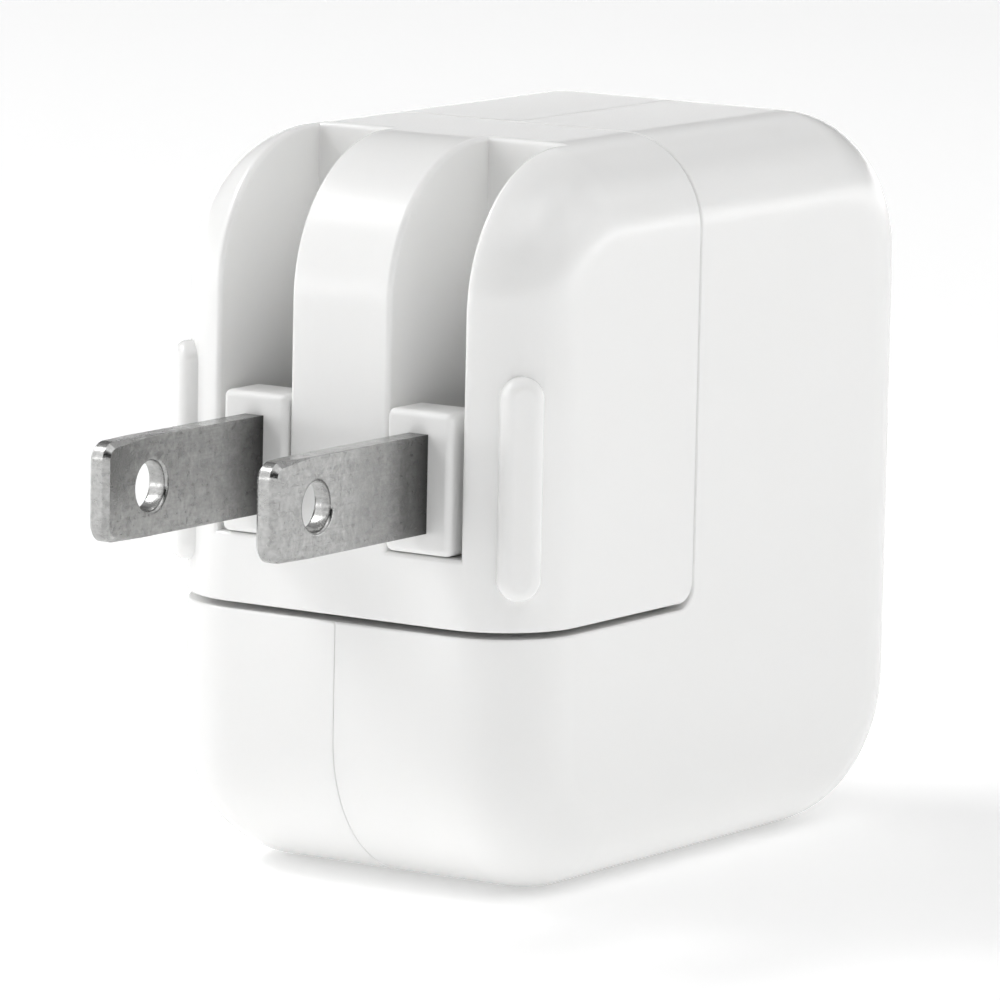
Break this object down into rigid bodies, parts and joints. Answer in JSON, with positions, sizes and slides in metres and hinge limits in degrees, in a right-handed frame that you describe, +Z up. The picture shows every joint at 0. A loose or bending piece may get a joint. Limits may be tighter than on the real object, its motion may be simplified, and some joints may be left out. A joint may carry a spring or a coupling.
{
  "type": "usb wall charger",
  "caption": "Compact white USB wall charger with rounded edges; a detachable corner plug module carries folding flat blades.",
  "frame": {"origin": "middle of the flat underside of the housing", "axes": "+Z up, -Y the way the extended blades point, X across the two blades; azimuth 0 looks at the blades"},
  "size_m": [0.029, 0.0651, 0.048],
  "materials": {
    "white_shell": "glossy white moulded polycarbonate blend",
    "grey_insulator": "satin light grey moulded nylon",
    "plated_brass": "nickel-plated brass, rolled and lightly scratched",
    "bright_steel": "nickel-plated steel, stamped or turned",
    "contact_bronze": "rolled phosphor bronze",
    "circuit_board": "green solder mask on glass-epoxy board",
    "black_resin": "moulded black epoxy",
    "heat_sink_aluminium": "extruded aluminium",
    "film_yellow": "yellow moulded case",
    "ferrite": "sintered ferrite",
    "enamelled_copper": "enamelled copper wire",
    "capacitor_sleeve": "shrunk dark sleeve over an aluminium can",
    "capacitor_can": "drawn aluminium can",
    "winding_tape": "yellow polyester tape",
    "insulation_film": "translucent insulating film",
    "ceramic_blue": "blue epoxy dip",
    "port_plastic": "white moulded insulator",
    "gold_contact": "gold-flashed contact"
  },
  "bodies": {
    "charger_body": {"board_pins": "contact_bronze", "bridge_rectifier": "black_resin", "choke_core": "ferrite", "choke_windings": "enamelled_copper", "controller_chip": "black_resin", "film_capacitor": "film_yellow", "fuse": "black_resin", "heat_sink": "heat_sink_aluminium", "housing_left": "white_shell", "housing_right": "white_shell", "inlet_cup": "grey_insulator", "inlet_pin_left": "plated_brass", "inlet_pin_right": "plated_brass", "input_capacitor_a": "capacitor_sleeve", "input_capacitor_b": "capacitor_sleeve", "insulation_sheet": "insulation_film", "lock_stud": "bright_steel", "main_board": "circuit_board", "optocoupler": "black_resin", "output_capacitors": "capacitor_can", "output_rectifier": "black_resin", "port_board": "circuit_board", "power_switch": "black_resin", "safety_capacitor": "ceramic_blue", "transformer_bobbin": "black_resin", "transformer_core": "ferrite", "transformer_tape": "winding_tape", "transformer_windings": "enamelled_copper", "usb_contacts": "gold_contact", "usb_shell": "bright_steel", "usb_tongue": "port_plastic"},
    "plug_module": {"plug_shell": "white_shell", "plug_back_cover": "white_shell", "lock_channel": "grey_insulator", "pivot_retainer": "grey_insulator", "socket_block": "white_shell", "socket_tube_left": "contact_bronze", "socket_tube_right": "contact_bronze", "contact_strip_left": "contact_bronze", "contact_strip_right": "contact_bronze", "detent_spring": "bright_steel"},
    "folding_blades": {"blade_left": "plated_brass", "blade_right": "plated_brass", "blade_carrier": "white_shell"}
  },
  "joints": [
    {"name": "plug_slide", "type": "slide", "parent": "charger_body", "child": "plug_module", "axis": [0, 0, 1], "range_m": [0, 0.031]},
    {"name": "blade_fold", "type": "hinge", "parent": "plug_module", "child": "folding_blades", "pos_m": [0, -0.0191, 0.0245], "axis": [-1, 0, 0], "range_deg": [0, 90]}
  ]
}
